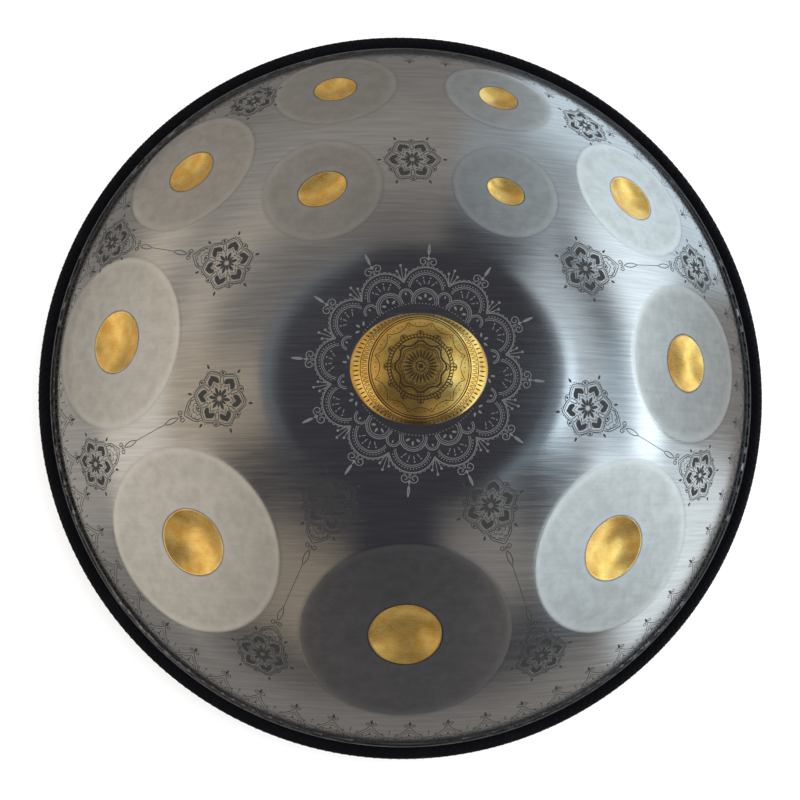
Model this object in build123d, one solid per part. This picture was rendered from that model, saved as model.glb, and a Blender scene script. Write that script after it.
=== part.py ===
from build123d import *

import os
from collections import namedtuple
from math import acos, asin, atan2, cos, radians, sin, sqrt

# A handpan: two deep-drawn steel shells glued flange to flange, with a gilded ding boss and eleven tone fields
# on top, a port underneath and a plaited rope around the rim. Lengths are in mm and +Z is up. The row's origin
# is on the axis, level with the landing around the port. Shapes are worked out about the seam, in its own
# frame with the seam at Z = 0, and lifted onto the landing at the end.

# ---------------------------------------------------------------------------------- driving dimensions
overall_diameter = 560.0  # over the rope
rope_diameter = 10.0
rope_core_diameter = 5.0
sheet = 1.2  # thickness of both shells
shell_rise = 130.0  # seam to crown, before the ding is flattened
crown_radius = 355.0
shoulder_start = 235.0  # distance from the axis where the crown arc ends and the tighter shoulder arc begins
flange_root = 269.0  # distance from the axis where the dome meets the flange
seam_glue = 0.2
rim_glue = 0.4  # between the edge of the flanges and the bottom of the groove in the rope
flange_radius = overall_diameter / 2 - 8.0
gilding = 0.15

port_radius = 52.0
port_neck = 25.0  # how far the neck reaches into the chamber
port_roll = 6.0  # outer radius of the bend from the landing into the neck
landing_width = 8.0

# Tone fields: a patch of the dome is flattened to a much larger radius, with a round dimple sunk in its middle.
field_crown = 1400.0
dimple_depth_ratio = 0.22  # depth over the radius of the dimple
Note = namedtuple("Note", "azimuth distance field_radius dimple_radius squash")
# azimuth in degrees from +X, distance of the dimple from the axis, radii, and the dimple's radial over its
# tangential width. The rim ring runs anticlockwise from the lowest note, then come the two shoulder notes.
notes = [
    Note(-92.0, 181.0, 73.0, 25.5, 1.0),
    Note(-40.5, 187.0, 65.0, 24.5, 1.0),
    Note(3.5, 200.0, 57.0, 21.0, 1.0),
    Note(40.0, 213.0, 50.0, 19.0, 1.0),
    Note(73.0, 224.0, 41.0, 15.0, 1.0),
    Note(104.5, 227.0, 46.0, 16.0, 1.0),
    Note(136.5, 224.0, 53.0, 18.5, 1.0),
    Note(173.0, 215.0, 62.0, 22.5, 1.0),
    Note(-143.0, 194.0, 68.0, 24.5, 1.0),
    Note(117.0, 143.0, 42.0, 17.5, 0.78),
    Note(64.0, 142.0, 38.0, 13.8, 0.78),
]

# The ding: an oval, nearly flat field in the middle, with a raised boss on it that is oval at its foot and
# round at its brow.
ding_half_length = 100.0
ding_half_width = 80.0
ding_length_crown = 700.0  # radius of the flattened field along X
boss_half_length = 46.0
boss_half_width = 37.5
boss_foot_sink = 1.0  # how far the oval foot is buried below the field at the ends of its length
boss_brow_radius = 34.5
boss_skirt_rise = 5.5
boss_cap_rise = 9.0

# ---------------------------------------------------------------------------------- worked-out dimensions
flange_top = seam_glue / 2 + sheet
crown_centre = shell_rise - crown_radius
crown_end_slope = asin(shoulder_start / crown_radius)
crown_end_z = crown_centre + crown_radius * cos(crown_end_slope)
shoulder_run = flange_root - shoulder_start
shoulder_mean_slope = atan2(crown_end_z - flange_top, shoulder_run)
shoulder_end_slope = 2 * shoulder_mean_slope - crown_end_slope
shoulder_radius = shoulder_run / (sin(shoulder_end_slope) - sin(crown_end_slope))
shoulder_centre_r = shoulder_start - shoulder_radius * sin(crown_end_slope)
shoulder_centre_z = crown_end_z - shoulder_radius * cos(crown_end_slope)

landing_inner = port_radius + port_roll
landing_outer = landing_inner + landing_width
seam_height = crown_centre + sqrt(crown_radius**2 - landing_outer**2)

# The flattening takes the same depth off the crown along both axes of the oval, which sets the other radius.
ding_depth = ding_half_length**2 / 2 * (1 / crown_radius - 1 / ding_length_crown)
ding_width_crown = 1 / (1 / crown_radius - 2 * ding_depth / ding_half_width**2)
ding_top = shell_rise - ding_depth
boss_foot = ding_top - boss_half_length**2 / (2 * ding_length_crown) - boss_foot_sink
boss_brow = ding_top + boss_skirt_rise
rope_ring_radius = (overall_diameter - rope_diameter) / 2


def sag(radius, chord_radius):
    """Height of a ball's cap of the given radius over its rim."""
    return radius - sqrt(radius**2 - chord_radius**2)


def crown_point(slope, inset):
    reach = crown_radius - inset
    return (reach * sin(slope), crown_centre + reach * cos(slope))


def shoulder_point(slope, inset):
    reach = shoulder_radius - inset
    return (shoulder_centre_r + reach * sin(slope), shoulder_centre_z + reach * cos(slope))


def shoulder_slope_at(z, inset):
    return acos((z - shoulder_centre_z) / (shoulder_radius - inset))


def dome_curve(first_slope, last_slope, inset):
    """The dome's outline, outwards from a slope on the crown arc to a slope on the shoulder arc."""
    crown = ThreePointArc(
        crown_point(first_slope, inset),
        crown_point((first_slope + crown_end_slope) / 2, inset),
        crown_point(crown_end_slope, inset),
    )
    shoulder = ThreePointArc(
        shoulder_point(crown_end_slope, inset),
        shoulder_point((crown_end_slope + last_slope) / 2, inset),
        shoulder_point(last_slope, inset),
    )
    return crown + shoulder


def turned(outline):
    """The solid that a closed outline, distance from the axis against Z, sweeps about the axis."""
    return revolve(make_face(Plane.XZ * outline), Axis.Z)


def filled_dome(inset, floor, brim=0.0):
    """A solid dome under the sheet's outer (inset 0) or inner surface, with an optional flange."""
    last_slope = shoulder_slope_at(floor if brim == 0.0 else flange_top, inset)
    foot = shoulder_point(last_slope, inset)
    corners = [foot, (0, floor), crown_point(0, inset)]
    if brim:
        corners = [foot, (brim, flange_top), (brim, floor), (0, floor), crown_point(0, inset)]
    return turned(dome_curve(0, last_slope, inset) + Polyline(*corners))


def field_frame(note):
    """A frame on the dome at a note: local Z is the outward normal and local X runs down the slope."""
    if note.distance < shoulder_start:
        slope = asin(note.distance / crown_radius)
        height = crown_point(slope, 0)[1]
    else:
        slope = asin((note.distance - shoulder_centre_r) / shoulder_radius)
        height = shoulder_point(slope, 0)[1]
    turn = radians(note.azimuth)
    out = (cos(turn), sin(turn))
    return Plane(
        origin=(note.distance * out[0], note.distance * out[1], height),
        x_dir=(cos(slope) * out[0], cos(slope) * out[1], -sin(slope)),
        z_dir=(sin(slope) * out[0], sin(slope) * out[1], cos(slope)),
    )


def field_drop(note):
    """How far the flattened field lies below the dome, at its middle."""
    return sag(crown_radius, note.field_radius) - sag(field_crown, note.field_radius)


def field_ball(note, inset):
    """The large ball that a tone field is flattened to: what lies outside it is taken off the dome."""
    centre = Pos(0, 0, -field_drop(note) - field_crown)
    return field_frame(note) * centre * Rot(90, 0, 0) * Sphere(field_crown - inset)


def dimple_ball(note, grow):
    """The ball that sinks a dimple, or the squashed one of an oval dimple."""
    depth = dimple_depth_ratio * note.dimple_radius
    radius = (note.dimple_radius**2 + depth**2) / (2 * depth)
    ball = Rot(90, 0, 0) * Sphere(radius + grow)
    if note.squash != 1.0:
        ball = scale(ball, by=((radius * note.squash + grow) / (radius + grow), 1, 1))
    return field_frame(note) * Pos(0, 0, radius - depth - field_drop(note)) * ball


def ding_barrel(inset):
    """The barrel that the oval ding field is flattened to, longer along X than along Y."""
    major = ding_width_crown - ding_length_crown
    ring = Rot(0, 90, 0) * Torus(major, ding_length_crown - inset)
    return Pos(0, 0, ding_top - ding_width_crown) * ring


def ding_boss(inset):
    """The raised boss: a skirt from an oval foot to a round brow, and a shallow cap above."""
    foot = Pos(0, 0, boss_foot - inset) * Ellipse(boss_half_length - inset, boss_half_width - inset)
    brow = Pos(0, 0, boss_brow - inset) * Circle(boss_brow_radius - inset)
    skirt = loft([foot.face(), brow.face()])
    cap_radius = (boss_brow_radius - inset) ** 2 / (2 * boss_cap_rise) + boss_cap_rise / 2
    half_angle = asin((boss_brow_radius - inset) / cap_radius) / 2
    top = boss_brow + boss_cap_rise - inset
    middle = (cap_radius * sin(half_angle), top - cap_radius * (1 - cos(half_angle)))
    rim = (boss_brow_radius - inset, boss_brow - inset)
    cap = turned(ThreePointArc((0, top), middle, rim) + Polyline(rim, (0, boss_brow - inset), (0, top)))
    return skirt + cap


def beaten_dome(inset, floor, brim=0.0):
    """A filled dome with every field flattened and the boss raised, but no dimples yet."""
    dome = filled_dome(inset, floor, brim)
    for note in notes:
        dome = dome & field_ball(note, inset)
    dome = dome & ding_barrel(inset)
    return dome + ding_boss(inset)


def top_shell(outside):
    """The sheet between the dimpled outside and the same shape set in by its thickness."""
    inside = beaten_dome(sheet, seam_glue / 2 - 1)
    for note in notes:
        outside = outside - dimple_ball(note, 0)
        inside = inside - dimple_ball(note, sheet)
    return outside - inside


def dimple_gilding(outside):
    """The gold-coloured lining of every dimple, from the sheet's surface inwards to the hollow."""
    linings = [outside & (dimple_ball(note, 0) - dimple_ball(note, -gilding)) for note in notes]
    return Compound(children=[lining.solid() for lining in linings])


def ding_gilding(outside):
    """The gold-coloured layer over the boss."""
    return (ding_boss(-gilding) - outside).solid()


def bottom_shell():
    """The lower sheet: the same dome the other way up, opened by a port with a neck rolled inwards."""
    low = -seam_height
    first_slope = asin(landing_outer / crown_radius)
    inner_first_slope = acos((seam_height - sheet - crown_centre) / (crown_radius - sheet))
    last_slope = shoulder_slope_at(flange_top, 0)
    inner_last_slope = shoulder_slope_at(seam_glue / 2, sheet)
    outer = mirror(dome_curve(first_slope, last_slope, 0), Plane.XZ)
    inner = mirror(dome_curve(inner_first_slope, inner_last_slope, sheet), Plane.XZ)
    inner_start = crown_point(inner_first_slope, sheet)
    inner_end = shoulder_point(inner_last_slope, sheet)
    outer_end = shoulder_point(last_slope, 0)
    flange = Polyline(
        (outer_end[0], -outer_end[1]),
        (flange_radius, -flange_top),
        (flange_radius, -seam_glue / 2),
        (inner_end[0], -inner_end[1]),
    )
    bend = (landing_inner, low + port_roll)
    outer_bend = RadiusArc((landing_inner, low), (port_radius, bend[1]), port_roll)
    inner_bend = RadiusArc((port_radius + sheet, bend[1]), (landing_inner, low + sheet), -(port_roll - sheet))
    neck = Polyline(
        (port_radius, bend[1]),
        (port_radius, low + port_neck),
        (port_radius + sheet, low + port_neck),
        (port_radius + sheet, bend[1]),
    )
    outer_landing = Line((landing_outer, low), (landing_inner, low))
    inner_landing = Line((landing_inner, low + sheet), (inner_start[0], -inner_start[1]))
    return turned(outer + flange + inner + inner_landing + inner_bend + neck + outer_bend + outer_landing)


def seam_adhesive():
    """The flat ring of glue between the two flanges."""
    inner_edge = shoulder_point(shoulder_slope_at(seam_glue / 2, sheet), sheet)[0]
    return Cylinder(flange_radius, seam_glue) - Cylinder(inner_edge, seam_glue)


def rope_groove():
    """The room that the edge of the flanges takes in the rope, glue included."""
    return Cylinder(flange_radius + rim_glue, 2 * flange_top + rim_glue)


def rim_adhesive():
    """The bead that fills the rope's groove around the edge of the flanges."""
    rope = Torus(rope_ring_radius, rope_diameter / 2)
    return (rope_groove() & rope) - Cylinder(flange_radius, 2 * flange_top)


def rope_core():
    return Torus(rope_ring_radius, rope_core_diameter / 2)


def rope_sheath():
    return Torus(rope_ring_radius, rope_diameter / 2) - rope_core() - rope_groove()


def main():
    outside = beaten_dome(0, seam_glue / 2, flange_radius)
    parts = {
        "top_shell": top_shell(outside),
        "bottom_shell": bottom_shell(),
        "dimple_gilding": dimple_gilding(outside),
        "ding_gilding": ding_gilding(outside),
        "seam_adhesive": seam_adhesive(),
        "rim_adhesive": rim_adhesive(),
        "rope_core": rope_core(),
        "rope_sheath": rope_sheath(),
    }
    os.makedirs("parts", exist_ok=True)
    for name, part in parts.items():
        export_step(Pos(0, 0, seam_height) * part, f"parts/{name}.step")


main()
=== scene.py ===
from collections import namedtuple
from math import asin, atan2, cos, pi, radians, sin, sqrt, tau

import bpy
import numpy as np
from mathutils import Matrix, Vector, geometry, kdtree


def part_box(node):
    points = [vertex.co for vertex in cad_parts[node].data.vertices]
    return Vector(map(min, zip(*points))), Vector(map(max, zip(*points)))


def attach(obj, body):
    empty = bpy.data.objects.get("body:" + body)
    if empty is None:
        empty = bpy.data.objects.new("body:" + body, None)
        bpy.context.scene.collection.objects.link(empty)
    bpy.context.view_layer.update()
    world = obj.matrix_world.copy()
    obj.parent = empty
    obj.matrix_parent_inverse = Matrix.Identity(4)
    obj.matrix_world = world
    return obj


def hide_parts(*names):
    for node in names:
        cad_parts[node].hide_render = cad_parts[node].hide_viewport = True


# The looks of a handpan, in metres in the row's frame. The steel dome, its fields, dimples and boss are one
# height formula. Everything on the dome is laid on it: the sheet, the gilding and the etched ornament.

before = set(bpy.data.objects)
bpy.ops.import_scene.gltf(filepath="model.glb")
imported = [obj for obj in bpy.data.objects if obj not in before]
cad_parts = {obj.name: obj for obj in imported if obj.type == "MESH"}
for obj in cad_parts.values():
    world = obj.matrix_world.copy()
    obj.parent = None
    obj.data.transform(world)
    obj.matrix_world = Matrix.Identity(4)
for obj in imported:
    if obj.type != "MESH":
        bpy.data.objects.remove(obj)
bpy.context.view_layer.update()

# ---------- read from the frame
seam_low, seam_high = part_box("seam_adhesive")
rope_low, rope_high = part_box("rope_sheath")
seam_z = (seam_low.z + seam_high.z) / 2
seam_glue = seam_high.z - seam_low.z
flange_radius = seam_high.x
rope_radius = (rope_high.z - rope_low.z) / 2
rope_ring = rope_high.x - rope_radius

# ---------- the same design as the CAD
MM = 0.001
sheet = 0.0012
shell_rise = 0.130
crown_radius = 0.355
shoulder_start = 0.235
flange_root = 0.269
port_radius = 0.052
port_neck = 0.025
port_roll = 0.006
landing_width = 0.008
field_crown = 1.400
dimple_depth_ratio = 0.22
ding_half_length = 0.100
ding_half_width = 0.080
ding_length_crown = 0.700
boss_half_length = 0.046
boss_half_width = 0.0375
boss_foot_sink = 0.001
boss_brow_radius = 0.0345
boss_skirt_rise = 0.0055
boss_cap_rise = 0.009

Note = namedtuple("Note", "azimuth distance field_radius dimple_radius squash")
notes = [
    Note(-92.0, 0.181, 0.073, 0.0255, 1.0),
    Note(-40.5, 0.187, 0.065, 0.0245, 1.0),
    Note(3.5, 0.200, 0.057, 0.0210, 1.0),
    Note(40.0, 0.213, 0.050, 0.0190, 1.0),
    Note(73.0, 0.224, 0.041, 0.0150, 1.0),
    Note(104.5, 0.227, 0.046, 0.0160, 1.0),
    Note(136.5, 0.224, 0.053, 0.0185, 1.0),
    Note(173.0, 0.215, 0.062, 0.0225, 1.0),
    Note(-143.0, 0.194, 0.068, 0.0245, 1.0),
    Note(117.0, 0.143, 0.042, 0.0175, 0.78),
    Note(64.0, 0.142, 0.038, 0.0138, 0.78),
]

flange_top = seam_glue / 2 + sheet
crown_centre = shell_rise - crown_radius
crown_end_slope = asin(shoulder_start / crown_radius)
crown_end_z = crown_centre + crown_radius * cos(crown_end_slope)
shoulder_run = flange_root - shoulder_start
shoulder_end_slope = 2 * atan2(crown_end_z - flange_top, shoulder_run) - crown_end_slope
shoulder_radius = shoulder_run / (sin(shoulder_end_slope) - sin(crown_end_slope))
shoulder_centre_r = shoulder_start - shoulder_radius * sin(crown_end_slope)
shoulder_centre_z = crown_end_z - shoulder_radius * cos(crown_end_slope)
landing_inner = port_radius + port_roll
landing_outer = landing_inner + landing_width
ding_depth = ding_half_length**2 / 2 * (1 / crown_radius - 1 / ding_length_crown)
ding_width_crown = 1 / (1 / crown_radius - 2 * ding_depth / ding_half_width**2)
ding_top = shell_rise - ding_depth
boss_foot = ding_top - boss_half_length**2 / (2 * ding_length_crown) - boss_foot_sink
boss_brow = ding_top + boss_skirt_rise
boss_cap_radius = boss_brow_radius**2 / (2 * boss_cap_rise) + boss_cap_rise / 2

# Hammered steel has no knife edges: how near two surfaces come before the corner between them is eased.
field_easing = 0.0003
ding_easing = 0.0015
dimple_easing = 0.0004
boss_foot_easing = 0.0012
boss_brow_easing = 0.0005

gilding = 0.0002
etching = 0.00005
boss_foot_share = 0.985  # of the foot's oval, where the buried foot comes out of the field


# ---------- the height of the dome
def soft_min(a, b, reach):
    """The lower of two heights, with the corner between them eased."""
    overlap = np.maximum(reach - np.abs(a - b), 0)
    return np.minimum(a, b) - overlap**2 / (4 * reach)


def soft_max(a, b, reach):
    return -soft_min(-a, -b, reach)


def root(value):
    return np.sqrt(np.maximum(value, 0))


def plain_dome(r, inset):
    """Height of the dome over the seam before any field is flattened, by distance from the axis."""
    crown = crown_centre + root((crown_radius - inset) ** 2 - r**2)
    shoulder = shoulder_centre_z + root((shoulder_radius - inset) ** 2 - (r - shoulder_centre_r) ** 2)
    crown_end = shoulder_centre_r + (shoulder_radius - inset) * sin(crown_end_slope)
    return np.where(r < crown_end, crown, shoulder)


def field_axes(note):
    """A note's place on the dome and its axes: down the slope, across it, and out of the sheet."""
    if note.distance < shoulder_start:
        slope = asin(note.distance / crown_radius)
        height = crown_centre + crown_radius * cos(slope)
    else:
        slope = asin((note.distance - shoulder_centre_r) / shoulder_radius)
        height = shoulder_centre_z + shoulder_radius * cos(slope)
    turn = radians(note.azimuth)
    place = np.array([note.distance * cos(turn), note.distance * sin(turn), height])
    down = np.array([cos(slope) * cos(turn), cos(slope) * sin(turn), -sin(slope)])
    out = np.array([sin(slope) * cos(turn), sin(slope) * sin(turn), cos(slope)])
    return place, down, np.cross(out, down), out


def field_drop(note):
    """How far a flattened field lies below the dome, at its middle."""
    def sag(radius):
        return radius - sqrt(radius**2 - note.field_radius**2)
    return sag(crown_radius) - sag(field_crown)


def field_level(note):
    """The middle of a flattened field, and the field's axes."""
    place, down, across, out = field_axes(note)
    return place - out * field_drop(note), down, across, out


def on_field(note, run, side):
    """Plan place of a point of a field, from its place along the slope and across it."""
    level, down, across, out = field_level(note)
    sunk = (run**2 + side**2) / (2 * field_crown)
    return tuple(level[i] + run * down[i] + side * across[i] - sunk * out[i] for i in (0, 1))


def within_field(note, x, y):
    """The other way about: a plan place's distances from a field's middle, along the slope and across."""
    level, down, across, out = field_level(note)
    run = side = np.zeros_like(x)
    for _ in range(3):
        sunk = (run**2 + side**2) / (2 * field_crown)
        dx = x - level[0] + sunk * out[0]
        dy = y - level[1] + sunk * out[1]
        run = (dx * down[0] + dy * down[1]) / (1 - down[2] ** 2)
        side = dx * across[0] + dy * across[1]
    return run, side


def field_height(x, y, note, inset):
    place, _, _, out = field_axes(note)
    centre = place - out * (field_drop(note) + field_crown)
    return centre[2] + root((field_crown - inset) ** 2 - (x - centre[0]) ** 2 - (y - centre[1]) ** 2)


def dimple_height(x, y, note, inset):
    """Underside of a dimple's ball, and far above the dome where the ball isn't."""
    level, down, across, out = field_level(note)
    depth = dimple_depth_ratio * note.dimple_radius
    radius = (note.dimple_radius**2 + depth**2) / (2 * depth)
    centre = level + out * (radius - depth)
    squash = (radius * note.squash + inset) / (radius + inset)
    dx = x - centre[0]
    dy = y - centre[1]
    run = (dx * down[0] + dy * down[1]) / squash
    side = dx * across[0] + dy * across[1]
    lift = dx * out[0] + dy * out[1]
    square = (down[2] / squash) ** 2 + out[2] ** 2
    half = run * down[2] / squash + lift * out[2]
    rest = run**2 + side**2 + lift**2 - (radius + inset) ** 2
    inside = half**2 - square * rest
    return np.where(inside > 0, centre[2] - (half + root(inside)) / square, 1.0)


def ding_field_height(x, y, inset):
    bulge = root((ding_length_crown - inset) ** 2 - x**2)
    return ding_top - ding_width_crown + root((ding_width_crown - ding_length_crown + bulge) ** 2 - y**2)


def boss_foot_radius(x, y):
    turn = np.arctan2(y, x)
    return 1 / np.hypot(np.cos(turn) / boss_half_length, np.sin(turn) / boss_half_width)


def boss_height(x, y, inset):
    """The skirt, from the oval foot to the round brow, and the cap over it."""
    r = np.hypot(x, y)
    foot = boss_foot_radius(x, y)
    skirt = boss_foot + (foot - inset - r) / (foot - boss_brow_radius) * (boss_brow - boss_foot) - inset
    cap = boss_brow + boss_cap_rise - boss_cap_radius + root((boss_cap_radius - inset) ** 2 - r**2)
    return soft_min(skirt, cap, boss_brow_easing)


def dome_height(x, y, inset=0.0):
    """Height over the seam of the sheet's outside, or of its inside when inset by the sheet's thickness."""
    z = plain_dome(np.hypot(x, y), inset)
    for note in notes:
        z = soft_min(z, field_height(x, y, note, inset), field_easing)
    z = soft_min(z, ding_field_height(x, y, inset), ding_easing)
    z = soft_max(z, boss_height(x, y, inset), boss_foot_easing)
    for note in notes:
        z = soft_min(z, dimple_height(x, y, note, inset), dimple_easing)
    return soft_max(z, flange_top - inset, dimple_easing)


# ---------- mesh building
def new_object(name, data):
    made = bpy.data.objects.new(name, data)
    bpy.context.scene.collection.objects.link(made)
    return made


def show(name, mesh, material, slot, *replaced):
    """Puts a finished mesh into the scene as a piece of the instrument."""
    piece = new_object(name, mesh)
    mesh.materials.append(material)
    mesh.shade_smooth()
    mesh.set_sharp_from_angle(angle=radians(40))
    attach(piece, "root")
    if replaced:
        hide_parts(*replaced)
    return piece


def new_mesh(name, vertices, faces):
    mesh = bpy.data.meshes.new(name)
    corners = [face for block in faces for face in block.tolist()]
    mesh.from_pydata(np.asarray(vertices).tolist(), [], corners)
    mesh.validate()
    return mesh


def joined(parts):
    """Several pairs of vertices and faces as one pair."""
    vertices = []
    faces = []
    first = 0
    for some_vertices, some_faces in parts:
        vertices.append(some_vertices)
        faces += [first + block for block in some_faces]
        first += len(some_vertices)
    return np.concatenate(vertices), faces


def grid_faces(rows, columns, wrap_rows=False):
    """Four-sided faces of a grid of points numbered row by row; its rows always close on themselves."""
    row = np.arange(rows if wrap_rows else rows - 1)[:, None]
    column = np.arange(columns)[None, :]
    after = (column + 1) % columns
    above = (row + 1) % rows
    corners = np.stack(np.broadcast_arrays(
        row * columns + column, row * columns + after, above * columns + after, above * columns + column
    ), axis=-1)
    return corners.reshape(-1, 4)


def circle_turns(count):
    return np.arange(count) * tau / count


def oval(turns, half_length, half_width):
    return half_length * np.cos(turns), half_width * np.sin(turns)


def crease_rings(along, offsets, dimple_offsets):
    """Plan points beside every crease: the fields, dimples, the ding and its boss, and the flange."""
    round_along = along / 1.6
    rings = []
    for note in notes:
        turns = circle_turns(int(tau * note.field_radius / along))
        for offset in offsets:
            reach = note.field_radius + offset
            rings.append(on_field(note, *oval(turns, reach, reach)))
        turns = circle_turns(int(tau * note.dimple_radius / round_along))
        for offset in dimple_offsets:
            reach = note.dimple_radius + offset
            rings.append(on_field(note, *oval(turns, reach * note.squash, reach)))
    turns = circle_turns(int(tau * ding_half_length / along))
    for offset in offsets:
        rings.append(oval(turns, ding_half_length + offset, ding_half_width + offset))
    turns = circle_turns(int(tau * boss_half_length / round_along))
    foot = 0.97 * boss_foot_radius(np.cos(turns), np.sin(turns))
    for offset in dimple_offsets:
        rings.append(oval(turns, boss_brow_radius + offset, boss_brow_radius + offset))
        rings.append(oval(turns, foot + offset, foot + offset))
    turns = circle_turns(int(tau * flange_root / along))
    for offset in dimple_offsets:
        rings.append(oval(turns, flange_root + offset, flange_root + offset))
    return np.concatenate([np.stack(ring, axis=1) for ring in rings])


def net_points(spacing, radius):
    """The points of a net of triangles over a disc."""
    row_spacing = spacing * sqrt(0.75)
    rows = int(radius / row_spacing)
    points = []
    for row in range(-rows, rows + 1):
        y = row * row_spacing
        count = int(sqrt(max(radius**2 - y * y, 0)) / spacing)
        x = np.arange(-count - 1, count + 2) * spacing + row % 2 * spacing / 2
        points.append(np.stack([x, np.full_like(x, y)], axis=1))
    points = np.concatenate(points)
    return points[np.hypot(points[:, 0], points[:, 1]) < radius]


def disc_mesh(rim_turns, spacing, along, offsets, dimple_offsets):
    """Triangles over the disc of the flange, finest along the creases. The rim's points come first."""
    rim = np.stack(oval(rim_turns, flange_radius, flange_radius), axis=1)
    rings = crease_rings(along, offsets, dimple_offsets)
    rings = rings[np.hypot(rings[:, 0], rings[:, 1]) < flange_radius - along]
    tree = kdtree.KDTree(len(rings))
    for index, (x, y) in enumerate(rings):
        tree.insert((x, y, 0), index)
    tree.balance()
    net = net_points(spacing, flange_radius - spacing)
    net = np.array([point for point in net if tree.find((point[0], point[1], 0))[2] > 0.7 * spacing])
    points = np.concatenate([rim, rings, net])
    flat = [Vector(point) for point in points]
    found, _, triangles, sources, _, _ = geometry.delaunay_2d_cdt(flat, [], [], 0, 1e-6)
    order = {source: index for index, group in enumerate(sources) for source in group}
    return np.array(found), np.array(triangles), np.array([order[index] for index in range(len(rim_turns))])


def lift_to_dome(points, inset=0.0, proud=0.0):
    """Points of the plan, raised to the sheet's outside or inside, in the row's frame."""
    z = dome_height(points[:, 0], points[:, 1], inset) + proud
    return np.column_stack([points, z + seam_z])


# ---------- the steel shells
def zone_colours(points):
    """For the steel's material: red in a field, green a painted highlight just inside its edge, blue a
    painted highlight around a dimple.

    Alpha is painted shade: a dark line at a dimple's lip, and a faint one around a field.
    """
    def line_beside(edge, middle, half_width):
        return 1 - np.clip(np.abs(edge - middle) / half_width, 0, 1)

    zones = np.zeros((len(points), 4))
    for note in notes:
        run, side = within_field(note, points[:, 0], points[:, 1])
        edge = np.hypot(run, side) - note.field_radius
        dimple_edge = np.hypot(run / note.squash, side) - note.dimple_radius
        field = np.clip(0.5 - edge / 0.0015, 0, 1)
        # Painted highlight: a band just inside each field's edge, where the steel's colour is paled.
        edge_highlight = line_beside(edge, -0.0022, 0.0026)
        # Painted highlight: a pale blue ring just outside each dimple.
        dimple_highlight = line_beside(dimple_edge, 0.002, 0.0035)
        # Painted shade: a dark line along each dimple's lip.
        lip = line_beside(dimple_edge, 0.0, 0.0009)
        # Painted shade: a faint dark line just outside each field's edge.
        outline = 0.2 * line_beside(edge, 0.0006, 0.0014)
        zones = np.maximum(zones, np.stack([field, edge_highlight, dimple_highlight, np.maximum(lip, outline)], axis=1))
    return zones


def top_shell():
    turns = circle_turns(720)
    beside_field = (-0.003, -0.0016, -0.0006, 0.0006, 0.0016, 0.003)
    beside_dimple = (-0.0026, -0.0014, -0.0006, 0.0, 0.0006, 0.0014)
    outer, outer_faces, outer_rim = disc_mesh(turns, 0.0028, 0.0022, beside_field, beside_dimple)
    inner, inner_faces, inner_rim = disc_mesh(turns, 0.0050, 0.0045, (0.0,), (0.0,))
    inner_rim = inner_rim + len(outer)
    edge = np.stack([outer_rim, inner_rim, np.roll(inner_rim, -1), np.roll(outer_rim, -1)], axis=1)
    outside = lift_to_dome(outer), [outer_faces]
    inside = lift_to_dome(inner, sheet), [inner_faces[:, ::-1]]
    vertices, faces = joined([outside, inside])
    mesh = new_mesh("TopShell", vertices, faces + [edge])
    zones = mesh.color_attributes.new("zones", "FLOAT_COLOR", "POINT")
    zones.data.foreach_set("color", zone_colours(vertices).ravel())
    return show("TopShell", mesh, brushed_steel(), "brushed_steel", "top_shell")


def arc_points(centre, radius, start, end, count):
    """Points of an arc in the half plane, with slopes counted from straight up."""
    slopes = np.linspace(start, end, count)
    return [(centre[0] + radius * sin(slope), centre[1] + radius * cos(slope)) for slope in slopes]


def dome_outline(first_slope, inset, last_slope):
    """The lower dome's outline as distance from the axis and height over the ground, outwards."""
    crown = arc_points((0, crown_centre), crown_radius - inset, first_slope, crown_end_slope, 60)
    shoulder_centre = (shoulder_centre_r, shoulder_centre_z)
    shoulder = arc_points(shoulder_centre, shoulder_radius - inset, crown_end_slope, last_slope, 14)
    return [(r, seam_z - z) for r, z in crown + shoulder[1:]]


def lathe(name, outline, steps):
    """A closed outline, distance from the axis against height, turned about the axis."""
    outline = np.array(outline)
    r = outline[:, :1]
    height = np.repeat(outline[:, 1:], steps, axis=1)
    vertices = np.stack([*oval(circle_turns(steps), r, r), height], axis=-1).reshape(-1, 3)
    return new_mesh(name, vertices, [grid_faces(len(outline), steps, wrap_rows=True)])


def bottom_shell():
    """The lower sheet, with its landing ring, and the port's neck rolled up into the chamber."""
    def side(inset, last_height):
        first_slope = asin(landing_outer / (crown_radius - inset))
        last_slope = np.arccos((last_height - shoulder_centre_z) / (shoulder_radius - inset))
        return dome_outline(first_slope, inset, last_slope)

    flange = [(flange_radius, seam_z - flange_top), (flange_radius, seam_z - seam_glue / 2)]
    bend_centre = (landing_inner, port_roll)
    inner_bend = arc_points(bend_centre, port_roll - sheet, pi, 1.5 * pi, 8)
    lip = (port_radius + sheet / 2, port_neck + sheet / 3)
    neck = [(port_radius + sheet, port_neck), lip, (port_radius, port_neck)]
    outer_bend = arc_points(bend_centre, port_roll, 1.5 * pi, pi, 10)
    outside = side(0.0, flange_top)
    inside = side(sheet, seam_glue / 2)
    mesh = lathe("BottomShell", outside + flange + inside[::-1] + inner_bend + neck + outer_bend, 288)
    return show("BottomShell", mesh, satin_steel(), "satin_steel", "bottom_shell")


# ---------- gilding
def blanket(plan, proud):
    """A thin closed layer on the dome, from rows of plan points that run outwards around a middle."""
    plan = np.stack(plan, axis=-1)
    rows, steps, _ = plan.shape
    over = lift_to_dome(plan.reshape(-1, 2), proud=np.repeat(proud, steps))
    under = lift_to_dome(plan[::-1].reshape(-1, 2), proud=-gilding)
    middle = np.arange(steps)[None, :]
    last = (2 * rows - 1) * steps
    faces = [grid_faces(2 * rows, steps)[:, ::-1], middle, (middle + last)[:, ::-1]]
    return np.concatenate([over, under]), faces


def thinning(shares):
    """The layer's height over the steel: even, and feathered out at its edge."""
    return gilding * np.clip((1.0 - shares) / 0.03, -0.3, 1.0)


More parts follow.
